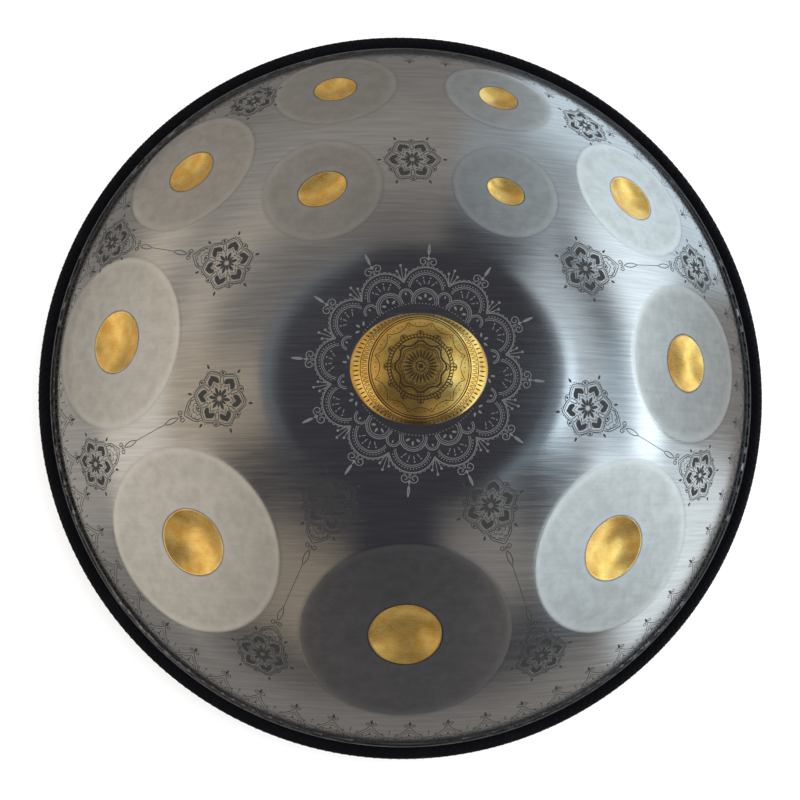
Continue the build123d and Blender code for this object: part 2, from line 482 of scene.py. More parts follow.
def dimple_gilding():
    turns = circle_turns(120)
    shares = np.concatenate([np.linspace(0.03, 0.94, 16), [0.97, 0.985, 1.0]])
    layers = []
    for number, note in enumerate(notes):
        wander = 0.004 * np.sin(3 * turns + number) + 0.003 * np.sin(7 * turns + 2 * number)
        reach = shares[:, None] * note.dimple_radius * (0.99 + wander)
        plan = on_field(note, *oval(turns, reach * note.squash, reach))
        layers.append(blanket(plan, thinning(shares)))
    mesh = new_mesh("DimpleGilding", *joined(layers))
    return show("DimpleGilding", mesh, gold("DimpleGold", 0.87), "gilding", "dimple_gilding")


def boss_gilding():
    turns = circle_turns(240)
    brow_share = 0.75
    shares = np.concatenate([np.linspace(0.02, 0.72, 40), np.linspace(0.735, 1.0, 24)])
    foot = boss_foot_share * boss_foot_radius(np.cos(turns), np.sin(turns))
    middle = np.minimum(shares / brow_share, 1)[:, None] * boss_brow_radius
    past_brow = np.maximum(shares - brow_share, 0)[:, None] / (1 - brow_share)
    reach = middle + past_brow * (foot - boss_brow_radius)
    mesh = new_mesh("BossGilding", *blanket(oval(turns, reach, reach), thinning(shares)))
    return show("BossGilding", mesh, gold("BossGold", 0.97), "gilding", "ding_gilding")


# ---------- the plaited rope
def rope_sheath():
    """Eight flat strands, four wound each way, that pass over and under each other around the core.

    The steel beside the rope stays pale in the photograph, so it doesn't mirror the rope.
    """
    strands_each_way = 4
    lays = 72
    rows_per_lay = 16
    half_width = 0.00205
    half_thickness = 0.00062
    weave = 0.00034
    mean = rope_radius - weave - half_thickness
    wide, thick = oval(circle_turns(6)[None, :, None], half_width, half_thickness)
    around = circle_turns(lays * rows_per_lay)
    out = np.column_stack([np.cos(around), np.sin(around), np.zeros_like(around)])
    up = np.array([0.0, 0.0, 1.0])
    strands = []
    for way in (1, -1):
        for strand in range(strands_each_way):
            turn = way * lays * around + tau * strand / strands_each_way
            crossing = strand + way * strands_each_way * lays * around / pi
            reach = mean + way * weave * np.cos(pi * (crossing + strand))
            spoke = np.cos(turn)[:, None] * out + np.sin(turn)[:, None] * up
            path = rope_ring * out + reach[:, None] * spoke + seam_z * up
            side = np.cross(np.roll(path, -1, axis=0) - np.roll(path, 1, axis=0), spoke)
            side /= np.linalg.norm(side, axis=1)[:, None]
            skin = path[:, None] + wide * side[:, None] + thick * spoke[:, None]
            rows, columns, _ = skin.shape
            strands.append((skin.reshape(-1, 3), [grid_faces(rows, columns, wrap_rows=True)]))
    mesh = new_mesh("RopeSheath", *joined(strands))
    piece = show("RopeSheath", mesh, black_rope(), "rope_braid", "rope_sheath")
    piece.visible_glossy = False
    return piece


# ---------- nodes
def link(tree, socket, value):
    if isinstance(value, bpy.types.NodeSocket):
        tree.links.new(value, socket)
    else:
        socket.default_value = value


def node(tree, kind, inputs, **settings):
    """A node with its settings. Inputs go by name or number, as values or as other nodes' outputs."""
    made = tree.nodes.new("ShaderNode" + kind)
    for name, value in settings.items():
        setattr(made, name, value)
    for name, value in inputs.items():
        link(tree, made.inputs[name], value)
    return made


def maths(tree, operation, *values):
    inputs = dict(enumerate(values))
    return node(tree, "Math", inputs, operation=operation).outputs[0]


def vector_maths(tree, operation, *values):
    made = node(tree, "VectorMath", dict(enumerate(values)), operation=operation)
    return made.outputs["Value" if operation in ("DOT_PRODUCT", "LENGTH") else "Vector"]


def ease(tree, value, low, high, to_low=0.0, to_high=1.0):
    """A smooth step from one value to another as the input goes from low to high."""
    inputs = {"Value": value, "From Min": low, "From Max": high, "To Min": to_low, "To Max": to_high}
    return node(tree, "MapRange", inputs, interpolation_type="SMOOTHSTEP").outputs["Result"]


def spread(tree, value, low, high):
    """Straight scaling of a 0 to 1 value onto another range."""
    inputs = {"Value": value, "To Min": low, "To Max": high}
    return node(tree, "MapRange", inputs).outputs["Result"]


def blended(tree, factor, a, b):
    made = node(tree, "Mix", {"Factor": factor}, data_type="RGBA")
    link(tree, made.inputs[6], a)
    link(tree, made.inputs[7], b)
    return made.outputs[2]


def noise(tree, per_metre, detail=3.0, roughness=0.5):
    """Noise with so many cells to the metre along X, Y and Z."""
    place = node(tree, "TexCoord", {}).outputs["Object"]
    scaled = vector_maths(tree, "MULTIPLY", place, per_metre)
    inputs = {"Vector": scaled, "Scale": 1.0, "Detail": detail, "Roughness": roughness}
    return node(tree, "TexNoise", inputs).outputs["Fac"]


def bumped(tree, height, distance, strength=1.0):
    inputs = {"Height": height, "Distance": distance, "Strength": strength}
    return node(tree, "Bump", inputs).outputs["Normal"]


def new_material(name):
    """A material with nodes, and its shader."""
    material = bpy.data.materials.new(name)
    material.use_nodes = True
    return material, material.node_tree, material.node_tree.nodes["Principled BSDF"]


def surface(shader, colour, roughness, normal, metallic=0.0):
    tree = shader.id_data
    link(tree, shader.inputs["Base Color"], colour)
    link(tree, shader.inputs["Roughness"], roughness)
    link(tree, shader.inputs["Normal"], normal)
    shader.inputs["Metallic"].default_value = metallic


# ---------- materials
def brushed_steel():
    """Steel brushed along X. Fields are heat-toned and mottled. A pale band at each field's edge and a pale
    blue ring around each dimple are painted highlights, and dark lines at the creases are painted shade.
    """
    material, tree, shader = new_material("BrushedSteel")
    zones = node(tree, "VertexColor", {}, layer_name="zones")
    channels = node(tree, "SeparateColor", {"Color": zones.outputs["Color"]})
    in_field, painted_edge_highlight, painted_dimple_highlight = channels.outputs
    fine = noise(tree, (45, 1300, 0), 3, 0.6)
    broad = noise(tree, (22, 430, 0), 3, 0.55)
    mottle = noise(tree, (110, 110, 110), 4, 0.65)
    cloud = noise(tree, (14, 14, 14), 2)
    streak = maths(tree, "ADD", maths(tree, "MULTIPLY", fine, 0.4), maths(tree, "MULTIPLY", broad, 0.6))
    bare = blended(tree, ease(tree, streak, 0.32, 0.68), (0.52, 0.52, 0.53, 1), (0.68, 0.68, 0.68, 1))
    toned = blended(tree, ease(tree, mottle, 0.3, 0.7), (0.56, 0.55, 0.52, 1), (0.72, 0.71, 0.68, 1))
    colour = blended(tree, maths(tree, "MULTIPLY", in_field, 0.7), bare, toned)
    # Painted highlight: the steel is paled in a band just inside each field's edge.
    colour = blended(tree, maths(tree, "MULTIPLY", painted_edge_highlight, 0.55), colour, (0.86, 0.85, 0.82, 1))
    # Painted highlight: the steel is paled to a light blue in a ring around each dimple.
    colour = blended(tree, maths(tree, "MULTIPLY", painted_dimple_highlight, 0.5), colour, (0.66, 0.72, 0.80, 1))
    colour = blended(tree, ease(tree, cloud, 0.35, 0.75, 0.0, 0.2), colour, (0.47, 0.47, 0.47, 1))
    # Painted shade: the alpha lines darken the steel at each dimple's lip and faintly around each field.
    lip = maths(tree, "MULTIPLY", zones.outputs["Alpha"], 0.85)
    colour = blended(tree, lip, colour, (0.08, 0.08, 0.09, 1))
    rough = maths(tree, "ADD", spread(tree, streak, 0.14, 0.27), maths(tree, "MULTIPLY", in_field, 0.16))
    brushing = bumped(tree, streak, 0.0001, 0.7)
    hammering = bumped(tree, maths(tree, "MULTIPLY", mottle, in_field), 0.00015, 0.7)
    link(tree, hammering.node.inputs["Normal"], brushing)
    surface(shader, colour, rough, hammering, 1.0)
    across_brushing = node(tree, "CombineXYZ", {"X": 0.0, "Y": 1.0, "Z": 0.0}).outputs[0]
    link(tree, shader.inputs["Tangent"], across_brushing)
    shader.inputs["Anisotropic"].default_value = 0.8
    return material


def satin_steel():
    """The plainer finish of the lower shell: rolled sheet with faint turning marks."""
    material, tree, shader = new_material("SatinSteel")
    place = node(tree, "TexCoord", {}).outputs["Object"]
    flat = vector_maths(tree, "MULTIPLY", place, (1.0, 1.0, 0.0))
    distance = node(tree, "CombineXYZ", {"X": vector_maths(tree, "LENGTH", flat)}).outputs[0]
    rings = node(tree, "TexNoise", {"Vector": distance, "Scale": 900.0, "Detail": 3.0}).outputs["Fac"]
    cloud = noise(tree, (18, 18, 18), 3)
    colour = blended(tree, ease(tree, cloud, 0.3, 0.7), (0.44, 0.44, 0.45, 1), (0.58, 0.58, 0.58, 1))
    surface(shader, colour, spread(tree, rings, 0.28, 0.44), bumped(tree, rings, 0.00004, 0.5), 1.0)
    return material


def gold(name, metallic):
    """Satin gold-coloured metal leaf: slightly cloudy, a little redder in patches."""
    material, tree, shader = new_material(name)
    cloud = noise(tree, (120, 120, 120), 4, 0.6)
    grain = noise(tree, (60, 1400, 60), 3, 0.6)
    colour = blended(tree, ease(tree, cloud, 0.3, 0.7), (0.84, 0.48, 0.11, 1), (1.0, 0.69, 0.21, 1))
    surface(shader, colour, spread(tree, grain, 0.20, 0.34), bumped(tree, grain, 0.00004, 0.6), metallic)
    return material


def etched(name, colour, metallic):
    """A dull etched line: one colour, with a fine tooth."""
    material, tree, shader = new_material(name)
    tooth = noise(tree, (1500, 1500, 1500), 2)
    surface(shader, colour, spread(tree, tooth, 0.5, 0.7), bumped(tree, tooth, 0.00002, 0.5), metallic)
    return material


def black_rope():
    """Black braided synthetic yarn."""
    material, tree, shader = new_material("BlackRope")
    yarn = noise(tree, (900, 900, 2400), 3, 0.6)
    dust = noise(tree, (40, 40, 40), 2)
    colour = blended(tree, yarn, (0.0004, 0.0004, 0.0007, 1), (0.003, 0.003, 0.0045, 1))
    colour = blended(tree, ease(tree, dust, 0.5, 0.8, 0.0, 0.3), colour, (0.006, 0.006, 0.008, 1))
    surface(shader, colour, spread(tree, yarn, 0.6, 0.85), bumped(tree, yarn, 0.0003, 0.7))
    shader.inputs["Specular IOR Level"].default_value = 0.2
    return material


def hidden_finish(name, lumps_per_metre, dark, light, roughness, bump):
    """Dull black stuff with fine lumps or fibres in it."""
    material, tree, shader = new_material(name)
    lumps = noise(tree, (lumps_per_metre,) * 3, 3)
    colour = blended(tree, lumps, (*dark, 1), (*light, 1))
    surface(shader, colour, spread(tree, lumps, *roughness), bumped(tree, lumps, *bump))
    return material


def finish_hidden_nodes():
    """The glue and the rope's core keep their CAD shape and get a proper finish."""
    glue = hidden_finish(
        "CuredGlue", 220, (0.035, 0.035, 0.04), (0.09, 0.09, 0.095), (0.25, 0.5), (0.0002, 0.6))
    fibre = hidden_finish(
        "CoreFibre", 700, (0.02, 0.02, 0.022), (0.07, 0.07, 0.075), (0.75, 0.95), (0.0003, 0.7))
    for name, material in (("seam_adhesive", glue), ("rim_adhesive", glue), ("rope_core", fibre)):
        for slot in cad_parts[name].material_slots:
            slot.material = material


# ---------- drawing
# A drawing is a list of strokes on a flat chart. A point is a complex number in millimetres, and a stroke
# of no width is a filled shape. Motifs are drawn around the positive real axis, then turned.
Stroke = namedtuple("Stroke", "points width")
thin = 0.42
medium = 0.55
bold = 0.8


def polar(radius, degrees):
    return radius * np.exp(1j * np.radians(degrees))


def arc(centre, radius, start, end, width=thin, stretch=1.0):
    """An arc about a centre, counted in degrees, and stretched along the real axis."""
    count = max(6, int(abs(radians(end - start)) * radius / 0.8) + 2)
    around = polar(radius, np.linspace(start, end, count))
    return Stroke(centre + around.real * stretch + 1j * around.imag, width)


def line(*corners, width=thin):
    """Straight runs from corner to corner."""
    runs = [np.linspace(a, b, max(2, int(abs(b - a) / 2) + 1))[:-1] for a, b in zip(corners, corners[1:])]
    return Stroke(np.concatenate(runs + [[corners[-1]]]), width)


def curve(*knots, width=thin):
    """A smooth line through the knots."""
    ends = [2 * knots[0] - knots[1], *knots, 2 * knots[-1] - knots[-2]]
    t = np.linspace(0, 1, 7)[:-1]
    runs = []
    for a, b, c, d in zip(ends, ends[1:], ends[2:], ends[3:]):
        runs.append(b + (c - a) / 2 * t + (a - 2.5 * b + 2 * c - d / 2) * t**2
                    + (1.5 * (b - c) + (d - a) / 2) * t**3)
    return Stroke(np.concatenate(runs + [[knots[-1]]]), width)


def filled(stroke):
    return Stroke(stroke.points, 0.0)


def dot(centre, radius):
    return filled(arc(centre, radius, 0, 330))


def drop(tip, foot, width):
    """A filled drop, pointed at its tip and round at its foot."""
    along = foot - tip
    t = np.linspace(0, 1, 9)
    half = width * np.sqrt(t) * (1 - t**4) * 0.75
    edge = along * t + 1j * along / abs(along) * half
    other = along * t - 1j * along / abs(along) * half
    return Stroke(tip + np.concatenate([other[:-1], edge[:0:-1]]), 0.0)


def leaf(tip, foot, width, line_width):
    """The outline of a leaf, pointed at both ends."""
    along = foot - tip
    t = np.linspace(0, 1, 11)
    half = 1j * along / abs(along) * width / 2 * np.sin(pi * t)
    there = along * t + half
    back = along * t - half
    return Stroke(tip + np.concatenate([there, back[::-1][1:]]), line_width)


def spiral(centre, radius, start, turns, width=thin):
    """A line that winds in from a start angle, in degrees; negative turns wind clockwise."""
    t = np.linspace(0, 1, int(abs(turns) * 18) + 2)
    return Stroke(centre + polar(radius * (1 - 0.72 * t), start + 360 * turns * t), width)


def wavy_ring(radius, wave, count, width):
    around = np.linspace(0, 360, count * 12 + 1)
    return Stroke(polar(radius + wave * np.cos(np.radians(around * count)), around), width)


def turned(drawing, degrees):
    return [Stroke(stroke.points * polar(1, degrees), stroke.width) for stroke in drawing]


def both_sides(drawing):
    """The drawing and its mirror image in the real axis."""
    return drawing + [Stroke(np.conj(stroke.points), stroke.width) for stroke in drawing]


def moved(drawing, shift):
    return [Stroke(stroke.points + shift, stroke.width) for stroke in drawing]


def repeated(drawing, count, first=0.0):
    """The drawing, once in each of so many equal turns."""
    return [stroke for number in range(count) for stroke in turned(drawing, first + number * 360 / count)]


# ---------- laying drawings on the dome
crown_arc = crown_radius * crown_end_slope
dome_arc = crown_arc + shoulder_radius * (shoulder_end_slope - crown_end_slope)


def arc_from_axis(r):
    """Length along the dome from its crown out to a distance from the axis."""
    if r < shoulder_start:
        return crown_radius * asin(r / crown_radius)
    slope = asin((r - shoulder_centre_r) / shoulder_radius)
    return crown_arc + shoulder_radius * (slope - crown_end_slope)


def distance_at(length):
    """Distance from the axis of the place so far along the dome."""
    length = np.clip(length, 0, dome_arc)
    on_crown = crown_radius * np.sin(length / crown_radius)
    slope = crown_end_slope + (length - crown_arc) / shoulder_radius
    on_shoulder = shoulder_centre_r + shoulder_radius * np.sin(slope)
    return np.where(length < crown_arc, on_crown, on_shoulder)


def plan_chart(points):
    return points.real * MM, points.imag * MM


def dome_chart(azimuth, distance, facing=0.0):
    """A chart around a place of the dome. Its real axis faces outwards, or so many degrees from there."""
    middle = arc_from_axis(distance)
    outwards = polar(1, azimuth)

    def chart(points):
        points = points * polar(MM, facing)
        place = (distance_at(middle + points.real) + 1j * points.imag) * outwards
        return place.real, place.imag
    return chart


def rim_chart(azimuth):
    """A chart at the foot of the dome: real along the rim, imaginary up the slope."""
    def chart(points):
        r = distance_at(dome_arc - points.imag * MM)
        turn = radians(azimuth) + points.real * MM / flange_root
        return r * np.cos(turn), r * np.sin(turn)
    return chart


def ribbon(points, width, chart):
    """Vertices and faces of a line, as plan places and heights over the sheet."""
    closed = abs(points[0] - points[-1]) < 1e-6
    if closed:
        points = points[:-1]
    ahead = np.roll(points, -1) - np.roll(points, 1) if closed else np.gradient(points)
    side = 0.5j * width * ahead / np.abs(ahead)
    left = chart(points + side)
    right = chart(points - side)
    up = np.full(len(points), etching)
    corners = [(*left, up), (*right, up), (*right, -up), (*left, -up)]
    vertices = np.array(corners).transpose(2, 0, 1).reshape(-1, 3)
    faces = [grid_faces(len(points), 4, wrap_rows=closed)]
    if not closed:
        faces += [np.array([[3, 2, 1, 0]]), len(vertices) - 4 + np.array([[0, 1, 2, 3]])]
    return vertices, faces


def plate(points, chart):
    """Vertices and faces of a filled shape, as plan places and heights over the sheet."""
    outline = np.stack(chart(points), axis=-1)
    after = np.roll(outline, -1, axis=0)
    if np.sum(outline[:, 0] * after[:, 1] - outline[:, 1] * after[:, 0]) < 0:
        outline = outline[::-1]
    count = len(outline)
    heights = np.repeat([etching, -etching], count)
    around = np.arange(count)[None, :]
    faces = [grid_faces(2, count)[:, ::-1], around, (around + count)[:, ::-1]]
    return np.column_stack([np.concatenate([outline, outline]), heights]), faces


def etched_piece(name, layout, material, slot, base=0.0):
    """One piece from drawings, each laid on the dome by its chart and standing a hair proud of it."""
    parts = [
        ribbon(points, width, chart) if width else plate(points, chart)
        for drawing, chart in layout for points, width in drawing
    ]
    flat, faces = joined(parts)
    vertices = lift_to_dome(flat[:, :2], proud=flat[:, 2] + base)
    return show(name, new_mesh(name, vertices, faces), material, slot)


# ---------- the ornament's motifs
def beads(radius, start, end, count, size):
    return [dot(polar(radius, angle), size) for angle in np.linspace(start, end, count)]


def mandala():
    """Twelve scalloped wedges around the ding, with finials between fans of stems."""
    finial = [drop(84.5, 76.0, 1.9), filled(leaf(76.0, 72.5, 1.4, thin))]
    finial += both_sides([spiral(71.8 + 3.1j, 3.1, -60, 1.2, medium)])
    finial += both_sides([curve(69.0, 70.5 + 0.6j, 71.8 + 0.1j)])
    scallop = [arc(0, 15.4, -76, 76, medium), arc(0, 11.8, -84, 84), arc(0, 10.7, -86, 86)]
    for angle in np.linspace(-76, 76, 27)[1::2]:
        scallop.append(arc(polar(15.4, angle), 1.15, angle - 80, angle + 80))
    scallop += beads(13.1, -70, 70, 17, 0.45)
    for angle in (-48, -16, 16, 48):
        scallop += [line(polar(4.6, angle), polar(7.2, angle), width=medium), dot(polar(8.6, angle), 0.6)]
    inner_arch = [arc(0, 9.0, -100, 100, medium), arc(0, 7.9, -100, 100), arc(0, 6.6, -104, 104)]
    inner_arch += [drop(polar(5.6, angle), polar(2.4, angle), 1.5) for angle in (-60, 0, 60)]
    small_arch = [arc(0, 4.6, -95, 95, medium), arc(0, 3.5, -95, 95), drop(2.4, 0.4, 1.1)]
    fan = []
    for angle, length in ((-19, 8.625), (0, 11.5), (19, 8.625)):
        fan += [line(polar(2.3, angle), polar(length, angle)), dot(polar(length + 0.9, angle), 0.9)]
    wedge = finial + moved(scallop, 52.6) + moved(inner_arch, 45.0)
    wedge += turned(moved(fan, 57.6) + moved(small_arch, 49.2), 15)
    collar = [arc(0, 41.2, 0, 360, medium), arc(0, 42.4, 0, 360)] + beads(43.6, 0, 357, 120, 0.4)
    room = 0.0003

    def off_boss(points):
        return (np.abs(points) * MM > boss_foot_radius(points.real, points.imag) + room).all()
    return [stroke for stroke in repeated(wedge, 12, 25.0) + collar if off_boss(stroke.points)]


def boss_ornament():
    """Rings of petals, beads and arches on the boss, inside a collar of loops that follows the brow."""
    drawing = [dot(0, 1.5), arc(0, 3.2, 0, 360, bold)]
    drawing += repeated([drop(11.2, 4.6, 1.25)], 24)
    for radius, wave, width in ((12.4, 0.7, thin), (13.6, 0.8, medium), (15.6, 1.1, 1.1)):
        drawing.append(wavy_ring(radius, wave, 8, width))
    drawing += repeated([arc(16.0, 2.4, -75, 75, medium), dot(16.6, 0.8)], 8)
    drawing += [arc(0, 19.2, 0, 360, bold), arc(0, 21.4, 0, 360, medium)]
    drawing += repeated([line(polar(19.4, -1), polar(21.2, 1.2), width=0.7)], 60)
    drawing += repeated([arc(21.4, 2.2, -84, 84, medium), dot(22.4, 0.8)], 12)
    petal = both_sides([curve(polar(26.2, 15), polar(26.8, 9), polar(28.2, 4), 30.2)])
    petal += [dot(27.8, 0.5), dot(polar(29.2, 15), 0.4)]
    petal += [dot(polar(28.8, angle), 0.4) for angle in (-9, 9)]
    drawing += repeated(petal, 12, 15)
    return drawing + [arc(0, 32.0, 0, 360, medium), arc(0, 33.4, 0, 360, bold)]


def skirt_chart(points):
    """A chart of the boss's skirt: radii of 35 to 45 run from the brow's circle to the foot's oval."""
    turn = np.angle(points)
    foot = boss_foot_share * boss_foot_radius(np.cos(turn), np.sin(turn))
    share = (np.abs(points) - 35) / 10
    r = boss_brow_radius + share * (foot - boss_brow_radius)
    return oval(turn, r, r)


def skirt_ornament():
    loop = [arc(36.6, 0.85, -90, 90, stretch=1.6)]
    loop += [line(35.0 - 0.85j, 36.6 - 0.85j), line(35.0 + 0.85j, 36.6 + 0.85j)]
    ray = [drop(43.6, 39.6, 0.9)]
    return repeated(loop, 84) + repeated(ray, 84, 180 / 84) + [arc(0, 38.9, 0, 360)]


def rosette():
    """A six-cornered flower with hollow sides. The side facing the positive real axis can carry a link."""
    corner = both_sides([curve(polar(15.4, -30), polar(16.8, -20), polar(18.2, -9), 19.6, width=medium)])
    corner += both_sides([curve(polar(14.2, -30), polar(15.5, -20), polar(16.8, -9), 18.1)])
    panel = Stroke(np.array([
        16.6, polar(14.6, 13), polar(13.2, 19), polar(11.2, 21), polar(10.0, 15), 12.4,
        polar(10.0, -15), polar(11.2, -21), polar(13.2, -19), polar(14.6, -13)]), 0.0)
    corner += [panel, line(polar(8.4, 15), 11.0, polar(8.4, -15), width=medium), drop(1.4, 8.2, 2.2)]
    corner += [drop(24.6, 21.2, 1.6)]
    side = [arc(10.2, 1.15, 90, 270, medium), line(10.2 + 1.15j, 14.0 + 1.15j, width=medium)]
    side += [line(10.2 - 1.15j, 14.0 - 1.15j, width=medium), drop(1.4, 6.2, 1.6), dot(7.5, 0.65)]
    side += [arc(16.2, 2.5, -85, 85, medium), dot(17.2, 0.9)]
    for away in (3.6, 5.2, 6.8, 8.4):
        out = 16.6 + 0.065 * away**1.5
        side += [dot(out + away * 1j, 0.42), dot(out - away * 1j, 0.42)]
    return repeated(corner, 6, 30) + repeated(side, 6)


spear_tip = 47.0


def link_end():
    """Half a flower on a rosette's side, with two spirals and a spear that point along the link."""
    drawing = both_sides([curve(18.0 + 8.6j, 22.4 + 7.4j, 25.6 + 4.4j, 29.2 + 0.2j, width=medium)])
    drawing += both_sides([curve(18.6 + 7.0j, 21.8 + 6.0j, 24.4 + 3.4j, 27.0 + 0.2j)])
    for radius, count, size in ((3.2, 3, 1.4), (6.4, 5, 1.6)):
        for angle in np.linspace(-62, 62, count):
            drawing.append(arc(17.2 + polar(radius, angle), size, angle - 95, angle + 95))
    drawing += both_sides([spiral(31.6 + 2.3j, 2.2, -100, 1.3, medium)])
    return drawing + [leaf(34.0, spear_tip, 3.2, medium)]


# Places of the rosettes, as azimuth and distance from the axis. A link joins the two of a pair.
linked_rosettes = [
    ((-62.0, 0.101), (-65.0, 0.216)),
    ((-12.0, 0.117), (-18.0, 0.221)),
    ((32.0, 0.137), (22.0, 0.231)),
    ((150.0, 0.149), (155.0, 0.243)),
    ((-172.0, 0.133), (-165.0, 0.234)),
    ((-123.0, 0.106), (-118.5, 0.220)),
]
lone_rosettes = [(91.0, 0.149), (56.0, 0.238), (119.0, 0.243)]


def facing_from(here, there):
    """Direction of one place from another on the dome, in degrees from straight outwards."""
    step = polar(there[1], there[0] - here[0]) - here[1]
    along = arc_from_axis(there[1]) - arc_from_axis(here[1])
    return float(np.degrees(np.arctan2(step.imag, along)))


def rosette_layout():
    layout = [(rosette(), dome_chart(*place)) for place in lone_rosettes]
    for pair in linked_rosettes:
        ends = []
        for here, there in (pair, pair[::-1]):
            chart = dome_chart(*here, facing_from(here, there))
            layout.append((rosette() + link_end(), chart))
            x, y = chart(np.array([spear_tip + 0j]))
            ends.append((x[0] + 1j * y[0]) / MM)
        layout.append(([line(*ends)], plan_chart))
    return layout


lace_repeats = 56
lace_length = tau * flange_root / lace_repeats / MM


def lace_repeat():
    """One repeat of the lace, its real axis up the slope: a pointed arch, and a round one with rays."""
    knots = (1.0 + 10.4j, 9.0 + 11.2j, 17.0 + 8.8j, 23.0 + 4.2j, 30.5 + 0.1j)
    inner_knots = (1.0 + 8.6j, 9.0 + 9.2j, 16.0 + 6.8j, 20.8 + 2.8j, 25.5 + 0.1j)
    drawing = both_sides([curve(*knots, width=medium)])
    drawing += both_sides([curve(*inner_knots)])
    drawing += both_sides([spiral(31.6 + 2.5j, 2.4, -100, 1.2, medium)])
    drawing += [drop(37.5, 32.4, 1.9)]
    drawing += [arc(5.0, 4.6, -110, 110, medium, 1.4), arc(5.0, 2.6, -110, 110, thin, 1.4)]
    for angle in (-64, -32, 0, 32, 64):
        place = polar(6.6, angle)
        drawing.append(arc(5.0 + 1.4 * place.real + 1j * place.imag, 1.7, angle - 100, angle + 100))
    drawing += [drop(18.6, 15.6, 1.4), dot(20.6, 0.7)]
    small = [arc(4.0, 7.2, -102, 102, medium, 1.4), arc(4.0, 5.8, -104, 104, thin, 1.4)]
    small += [drop(4.6, 9.6, 1.8)]
    for angle in (-56, -28, 0, 28, 56):
        outwards = polar(1, angle) * (1.25 if angle == 0 else 1.0)
        small += [line(8.0 + 7.6 * outwards, 8.0 + 10.8 * outwards), dot(8.0 + 11.8 * outwards, 0.8)]
    drawing += moved(small, 1j * lace_length / 2)
    for step in np.arange(0, lace_length, lace_length / 14):
        drawing.append(drop(2.4 + step * 1j, 0.7 + step * 1j, 0.9))
    return drawing + [line(0.25 + 0j, 0.25 + lace_length * 1j)]


def clear_of_fields(drawing, chart):
    """The drawing without what would run onto a tone field: lines are cut there, filled shapes left out."""
    room = 0.0005
    drawn = []
    for points, width in drawing:
        x, y = chart(points)
        clear = np.ones(len(points), bool)
        for note in notes:
            clear &= np.hypot(*within_field(note, x, y)) > note.field_radius + room
        cuts = np.flatnonzero(np.diff(clear)) + 1
        for run in np.split(np.arange(len(points)), cuts):
            if clear[run].all() and len(run) > 1 and (width or len(run) == len(points)):
                drawn.append(Stroke(points[run], width))
    return drawn


def lace_layout():
    drawing = turned(lace_repeat(), 90)
    charts = [rim_chart(number * 360 / lace_repeats) for number in range(lace_repeats)]
    return [(clear_of_fields(drawing, chart), chart) for chart in charts]


def etched_ornament():
    """Dull grey on the steel, darker away from the ding, and a dark brown on the gilding."""
    grey = etched("EtchedSteel", (0.14, 0.14, 0.14, 1), 0.3)
    dark = etched("EtchedRim", (0.035, 0.035, 0.035, 1), 0.3)
    brown = etched("EtchedGold", (0.022, 0.013, 0.006, 1), 0.2)
    etched_piece("EtchedMandala", [(mandala(), plan_chart)], grey, "brushed_steel")
    etched_piece("EtchedRosettes", rosette_layout(), dark, "brushed_steel")
    etched_piece("EtchedLace", lace_layout(), dark, "brushed_steel")
    boss = [(boss_ornament(), plan_chart), (skirt_ornament(), skirt_chart)]
    etched_piece("EtchedBoss", boss, brown, "gilding", gilding)


# ---------- studio
# A big soft light. It is placed by its azimuth from +X, and by how far from straight up it starts and ends,
# all in degrees.
Panel = namedtuple("Panel", "azimuth half_width low high strength tint")
panel_edge = 4
icy = (0.80, 1.04, 1.20)
cool = (0.89, 1.02, 1.08)
warm = (1.08, 0.99, 0.85)
amber = (1.17, 0.97, 0.68)
right_panels = [
    Panel(-15, 30, 26, 37, 0.20, icy),
    Panel(15, 30, 37, 57, 0.65, cool),
    Panel(0, 15, 37, 47, 1.05, icy),
    Panel(0, 15, 57, 67, 0.50, icy),
    Panel(0, 15, 67, 77, 2.15, cool),
    Panel(-30, 15, 57, 67, 1.80, cool),
    Panel(-30, 15, 67, 77, 1.05, cool),
    Panel(-18, 14, 77, 90, 0.95, cool),
    Panel(-26, 18, 90, 118, 0.90, cool),
    Panel(30, 15, 67, 90, 1.35, cool),
    Panel(60, 15, 57, 90, 0.40, cool),
    Panel(45, 22, 90, 135, 0.70, icy),
]
left_panels = [
    Panel(150, 45, 26, 37, 0.15, cool),
    Panel(120, 45, 37, 57, 0.15, warm),
    Panel(135, 30, 57, 67, 0.22, amber),
    Panel(120, 45, 57, 90, 0.28, warm),
    Panel(150, 15, 77, 90, 0.30, amber),
    Panel(180, 15, 37, 67, 0.40, amber),
    Panel(210, 15, 57, 67, 0.70, warm),
    Panel(195, 30, 67, 90, 0.75, warm),
    Panel(240, 15, 47, 77, 0.28, amber),
    Panel(300, 15, 37, 67, 0.24, warm),
    Panel(180, 22, 90, 135, 0.18, warm),
]
below = Panel(0, 190, 90, 200, 0.19, warm)
room_glow = (0.05, 0.05, 0.06)
backdrop = (0.82, 0.82, 0.82, 1.0)


def window(tree, value, low, high, edge):
    """1 between two values, easing to 0 outside them."""
    rise = ease(tree, value, low - edge, low + edge)
    fall = ease(tree, value, high - edge, high + edge, 1.0, 0.0)
    return maths(tree, "MULTIPLY", rise, fall)


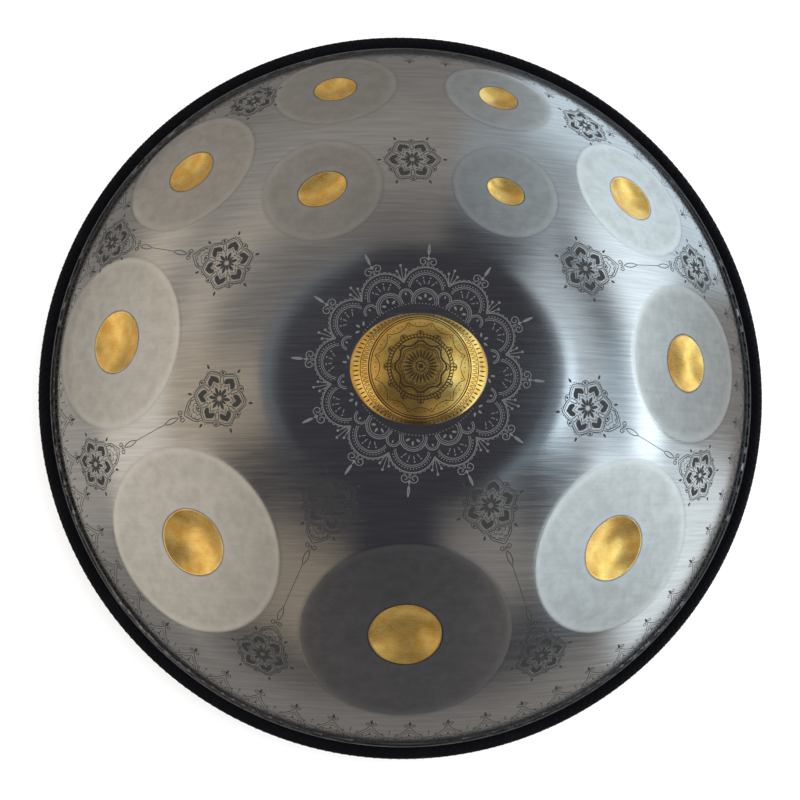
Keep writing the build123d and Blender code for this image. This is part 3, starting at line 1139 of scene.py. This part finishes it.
def studio_light():
    """Soft panels around a dark ceiling light the steel. The camera itself sees one plain backdrop."""
    world = bpy.data.worlds.new("Studio")
    world.use_nodes = True
    bpy.context.scene.world = world
    tree = world.node_tree
    ray = node(tree, "TexCoord", {}).outputs["Generated"]
    level = vector_maths(tree, "NORMALIZE", vector_maths(tree, "MULTIPLY", ray, (1.0, 1.0, 0.0)))
    height = node(tree, "SeparateXYZ", {"Vector": vector_maths(tree, "NORMALIZE", ray)}).outputs["Z"]
    from_top = maths(tree, "DEGREES", maths(tree, "ARCCOSINE", height))
    total = room_glow
    for panel in right_panels + left_panels + [below]:
        facing = (cos(radians(panel.azimuth)), sin(radians(panel.azimuth)), 0.0)
        beside = vector_maths(tree, "DOT_PRODUCT", level, facing)
        swing = maths(tree, "DEGREES", maths(tree, "ARCCOSINE", beside))
        end = panel.half_width
        across = ease(tree, swing, end - panel_edge, end + panel_edge, 1.0, 0.0)
        upright = window(tree, from_top, panel.low, panel.high, panel_edge)
        share = maths(tree, "MULTIPLY", across, upright)
        light = vector_maths(tree, "SCALE", [panel.strength * part for part in panel.tint])
        link(tree, light.node.inputs["Scale"], share)
        total = vector_maths(tree, "ADD", total, light)
    seen_directly = node(tree, "LightPath", {}).outputs["Is Camera Ray"]
    total = blended(tree, seen_directly, total, backdrop)
    link(tree, tree.nodes["Background"].inputs["Color"], total)


def ceiling_lamp():
    """A wide lamp straight above, for the floor and everything dull: the steel doesn't mirror it."""
    lamp = bpy.data.lights.new("CeilingLamp", "AREA")
    lamp.shape = "DISK"
    lamp.size = 1.6
    lamp.energy = 60.0
    holder = new_object("CeilingLamp", lamp)
    holder.location = (0.0, 0.0, 2.2)
    holder.visible_glossy = False


def floor():
    """A plain pale sheet that the steel doesn't mirror: below the horizon it shows the studio instead.

    It is clear from below, so that the underside can be looked at.
    """
    half = 3.0
    level = -0.0003
    corners = [(-half, -half, level), (half, -half, level), (half, half, level), (-half, half, level)]
    mesh = new_mesh("Floor", corners, [np.array([[0, 1, 2, 3]])])
    material, tree, shader = new_material("PaleFloor")
    shader.inputs["Base Color"].default_value = (0.92, 0.92, 0.92, 1)
    shader.inputs["Roughness"].default_value = 0.9
    underneath = node(tree, "NewGeometry", {}).outputs["Backfacing"]
    clear = node(tree, "BsdfTransparent", {}).outputs[0]
    mixed = node(tree, "MixShader", {0: underneath, 1: shader.outputs[0], 2: clear})
    link(tree, tree.nodes["Material Output"].inputs["Surface"], mixed.outputs[0])
    mesh.materials.append(material)
    ground = new_object("Floor", mesh)
    ground.visible_glossy = False


def camera():
    """Nearly overhead, a little to the left and towards the player, at the photograph's viewing angle."""
    aim = Vector((-0.0056, -0.0097, seam_z))
    place = Vector((-0.0509, -0.0798, seam_z + 0.7944))
    forward = (aim - place).normalized()
    right = forward.cross(Vector((0, 1, 0))).normalized()
    up = right.cross(forward)
    lens = bpy.data.cameras.new("Camera")
    lens.sensor_width = 36.0
    lens.lens = 46.57
    holder = new_object("Camera", lens)
    axes = Matrix((right, up, -forward)).transposed().to_4x4()
    holder.matrix_world = Matrix.Translation(place) @ axes
    bpy.context.scene.camera = holder


# ---------- the whole
bpy.context.scene.view_settings.view_transform = "Standard"
studio_light()
ceiling_lamp()
floor()
camera()
top_shell()
bottom_shell()
dimple_gilding()
boss_gilding()
etched_ornament()
rope_sheath()
finish_hidden_nodes()
